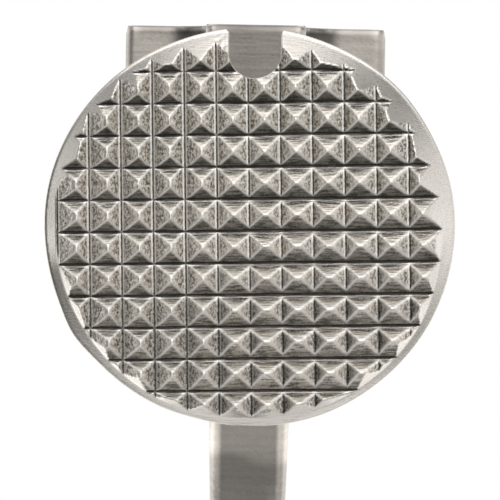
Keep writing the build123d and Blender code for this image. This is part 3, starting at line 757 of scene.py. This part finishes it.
def channels(places):
    """Depth of the moulded channels, in millimetres, over the sleeve's outside."""
    x, y, z = places[:, 0], places[:, 1], places[:, 2]
    low, high = sleeve_low.z / MM, sleeve_high.z / MM
    slant = z + 0.55 * np.abs(y - 0.5)
    phase = np.abs((slant / channel_pitch) % 1 - 0.5) * 2
    room = fade(z, low + 10, low + 14) * (1 - fade(z, high - 14, high - 10))
    room *= fade(np.abs(x), 4.0, 7.0)
    for height in (screws_low.z / MM + screw_head_radius, screws_high.z / MM - screw_head_radius):
        room *= fade(np.hypot(y, z - height), 7.4, 8.6)
    cut = fade(phase, 0.70, 0.84) * room
    for ring in (low + 5.0, high - 4.0):
        away = np.abs(z - ring)
        cut = np.where(away < 2, np.maximum(cut, 1 - fade(away, 0.5, 1.1)), cut)
    return channel_depth * cut


def sink(mesh, depth):
    """Moves every vertex into the surface by its own depth, in millimetres."""
    places = vertex_array(mesh) - vertex_array(mesh, "normal") * depth[:, None]
    mesh.vertices.foreach_set("co", np.asarray(places * MM, np.float32).ravel())
    mesh.update()


def moulded_rubber():
    """Black rubber: fine pebbled texture, chalky dust in the channels and polish on the lands."""
    f = Finish("moulded_rubber", 0.0, 0.6)
    channel = f.mark("channel")
    pebble = f.node("ShaderNodeTexVoronoi", feature="SMOOTH_F1")
    f.join(f.stretched(0.7, 0.7, 0.7), pebble.inputs["Vector"])
    pebble.inputs["Scale"].default_value = 1.0
    cloud = f.noise(f.stretched(12.0, 12.0, 16.0), detail=4.0, roughness=0.6)
    dust = f.noise(f.stretched(2.0, 2.0, 2.0), detail=4.0, roughness=0.65)
    black = f.blend(f.spread(cloud, 0.35, 0.65), (0.016, 0.016, 0.017), (0.028, 0.027, 0.027))
    dusty = f.math("MULTIPLY", f.spread(dust, 0.4, 0.75), f.spread(channel, 0.1, 0.9, 0.18, 0.9))
    colour = f.blend(dusty, black, (0.085, 0.080, 0.074))
    rough = f.spread(channel, 0.0, 1.0, f.spread(cloud, 0.3, 0.7, 0.42, 0.58), 0.75)
    return f.set(Base_Color=colour, Roughness=rough, Normal=f.bump(pebble.outputs["Distance"], 0.10, 0.6))


grip_sleeve = softened("grip_sleeve", 0.72, 2, 1.0)
skin = vertex_array(grip_sleeve.data)
skin_facing = vertex_array(grip_sleeve.data, "normal")
skin_radius = np.hypot(skin[:, 0], skin[:, 1])
skin_outward = (skin_facing[:, 0] * skin[:, 0] + skin_facing[:, 1] * skin[:, 1]) / skin_radius
sunk = channels(skin) * fade(skin_outward, 0.3, 0.7)
sink(grip_sleeve.data, sunk)
paint(grip_sleeve.data, "channel", sunk / channel_depth)
grip_sleeve.data.materials.append(moulded_rubber())
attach(grip_sleeve, "hammer")
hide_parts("grip_sleeve")

# ---------------------------------------------------------------- grip core and butt cap
# Two glass-filled nylon halves clamp the flat tang under the sleeve. The cap below them is the same
# hard nylon, moulded with a step at its seam and held by the bushing through the tether hole.


def moulded_nylon(name, dark, light):
    """Dark glass-filled nylon: satin, with fibre swirls, scuffs and fine moulding grain."""
    f = Finish(name, 0.0, 0.45)
    grain = f.noise(f.stretched(0.4, 0.4, 0.4), detail=3.0)
    swirl = f.noise(f.stretched(3.0, 9.0, 3.0, turn=0.4), detail=4.0, roughness=0.6)
    scuff = f.noise(f.stretched(0.35, 5.0, 2.2, turn=0.9), detail=3.0, roughness=0.7)
    colour = f.blend(f.spread(swirl, 0.35, 0.65), dark, light)
    colour = f.blend(f.math("MULTIPLY", f.spread(scuff, 0.60, 0.72), 0.5), colour, (0.16, 0.155, 0.15))
    colour = f.blend(f.math("MULTIPLY", f.spread(f.mark("edge"), 0.1, 0.5), 0.5), colour, (0.11, 0.105, 0.10))
    rough = f.spread(swirl, 0.3, 0.7, 0.38, 0.55)
    return f.set(Base_Color=colour, Roughness=rough, Normal=f.bump(grain, 0.05, 0.5))


nylon = moulded_nylon("core_nylon", (0.030, 0.030, 0.032), (0.050, 0.049, 0.048))
dress("grip_core_right", nylon)
dress("grip_core_left", nylon)

butt_cap = softened("butt_cap", 0.5, 4, 1.0)
cap_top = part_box("butt_cap")[1].z / MM
seam_below_top = 3.0
seam_depth = 0.45
cap = vertex_array(butt_cap.data)
cap_facing = vertex_array(butt_cap.data, "normal")
cap_outward = fade(cap_facing[:, 0] * cap[:, 0] + cap_facing[:, 1] * (cap[:, 1] + 4), 4, 9)
sink(butt_cap.data, seam_depth * ridge_at(cap_top - seam_below_top - cap[:, 2], 0.7) * cap_outward)
paint(butt_cap.data, "edge", bend(butt_cap.data, 1.2))
butt_cap.data.materials.append(moulded_nylon("cap_nylon", (0.022, 0.022, 0.024), (0.040, 0.039, 0.038)))
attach(butt_cap, "hammer")
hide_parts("butt_cap")

# ---------------------------------------------------------------- grip screws, barrel nuts and bushing
# Low-headed steel screws from the right meet barrel nuts from the left, and clamp the grip on the tang.
# A flanged steel bushing lines the tether hole through the cap and the tang.
fastener_steel = turned_steel("fastener_steel", (0.30, 0.29, 0.275), (0.52, 0.50, 0.475), 0.28)
for node in ("grip_screws", "grip_barrel_nuts", "tether_bushing"):
    dress(node, fastener_steel)
    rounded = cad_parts[node].modifiers.new("broken_edges", "BEVEL")
    rounded.width = 0.18 * MM
    rounded.segments = 2
    rounded.limit_method = "ANGLE"
    rounded.angle_limit = math.radians(50)

# ---------------------------------------------------------------- floor, light and camera
# The hammer stands over a pale floor in a tent of soft light panels, before a plain white backdrop.
# A camera with a long lens looks straight at the striking face. None of this is part of the hammer.
floor_mesh = bpy.data.meshes.new("floor")
floor_reach = 3.0
floor_corners = [
    (-floor_reach, -floor_reach, cad_low.z),
    (floor_reach, -floor_reach, cad_low.z),
    (floor_reach, floor_reach, cad_low.z),
    (-floor_reach, floor_reach, cad_low.z),
]
floor_mesh.from_pydata(floor_corners, [], [(0, 1, 2, 3)])
floor = bpy.data.objects.new("floor", floor_mesh)
bpy.context.collection.objects.link(floor)
pale = Finish("pale_floor", 0.0, 0.9)
floor_mesh.materials.append(pale.set(Base_Color=(0.86, 0.86, 0.86, 1.0)))
floor.visible_glossy = False

world = bpy.data.worlds.new("studio")
bpy.context.scene.world = world
world.use_nodes = True
sky = world.node_tree
sky.nodes.clear()


def sky_node(kind, **settings):
    """A new node of the world's light."""
    made = sky.nodes.new(kind)
    for key, value in settings.items():
        setattr(made, key, value)
    return made


def sky_math(operation, a, b):
    """The result of a sum on two of the world's values or plain numbers."""
    made = sky_node("ShaderNodeMath", operation=operation)
    for i, value in enumerate((a, b)):
        if isinstance(value, bpy.types.NodeSocket):
            sky.links.new(value, made.inputs[i])
        else:
            made.inputs[i].default_value = value
    return made.outputs[0]


# Panels of the light tent, in rings round the head's axis: how far a ring leans back, how far its panels
# spread, and for each panel its place round the ring from +X and its strength. All angles are in degrees.
rings = (
    (-90, 38, ((0, 1.7),)),
    (-42, 42, ((30, 0.8), (90, 2.1), (150, 0.1), (270, 0.75), (330, 0.4))),
    (-12, 38, ((0, 0.6), (60, 0.15), (150, 0.5), (210, 0.5), (240, 0.5), (300, 0.4))),
    (16, 30, ((226, 1.2), (318, 1.0))),
    (25, 50, ((0, 1.0), (90, 1.2), (180, 1.2), (270, 0.8))),
    (90, 70, ((0, 1.1),)),
)
panels = [(lean, spread, *panel) for lean, spread, placed in rings for panel in placed]
sky_way = sky_node("ShaderNodeTexCoord")
level = 0.0
for lean, spread, around, strength in panels:
    lean, around = math.radians(lean), math.radians(around)
    way = (math.cos(lean) * math.cos(around), math.sin(lean), math.cos(lean) * math.sin(around))
    dot = sky_node("ShaderNodeVectorMath", operation="DOT_PRODUCT")
    sky.links.new(sky_way.outputs["Generated"], dot.inputs[0])
    dot.inputs[1].default_value = way
    glow = sky_node("ShaderNodeMapRange", clamp=True, interpolation_type="SMOOTHSTEP")
    sky.links.new(dot.outputs["Value"], glow.inputs[0])
    for i, value in enumerate((math.cos(math.radians(spread)), 1.0, 0.0, strength)):
        glow.inputs[i + 1].default_value = value
    level = sky_math("ADD", level, glow.outputs[0])
sky_light = sky_node("ShaderNodeBackground")
sky.links.new(level, sky_light.inputs["Strength"])
sky_light.inputs["Color"].default_value = (1.0, 0.985, 0.965, 1.0)
backdrop = sky_node("ShaderNodeBackground")
backdrop.inputs["Color"].default_value = (1.0, 1.0, 1.0, 1.0)
backdrop.inputs["Strength"].default_value = 1.0
ray = sky_node("ShaderNodeLightPath")
mix = sky_node("ShaderNodeMixShader")
sky.links.new(ray.outputs["Is Camera Ray"], mix.inputs[0])
sky.links.new(sky_light.outputs[0], mix.inputs[1])
sky.links.new(backdrop.outputs[0], mix.inputs[2])
sky_out = sky_node("ShaderNodeOutputWorld")
sky.links.new(mix.outputs[0], sky_out.inputs["Surface"])

camera_data = bpy.data.cameras.new("camera")
camera_data.lens = 400.6
camera_data.sensor_width = 36.0
camera_data.clip_start = 0.02
camera_distance = 520.0
camera = bpy.data.objects.new("camera", camera_data)
bpy.context.collection.objects.link(camera)
camera_roll = math.radians(1.03)
right = Vector((math.cos(camera_roll), 0, math.sin(camera_roll)))
up = Vector((-math.sin(camera_roll), 0, math.cos(camera_roll)))
back = Vector((0, -1, 0))
camera_turn = Matrix((right, up, back)).transposed().to_4x4()
camera_place = face_centre + Vector((-0.206, -camera_distance, -2.134)) * MM
camera.matrix_world = Matrix.Translation(camera_place) @ camera_turn
bpy.context.scene.camera = camera

bpy.context.scene.view_settings.view_transform = "Standard"
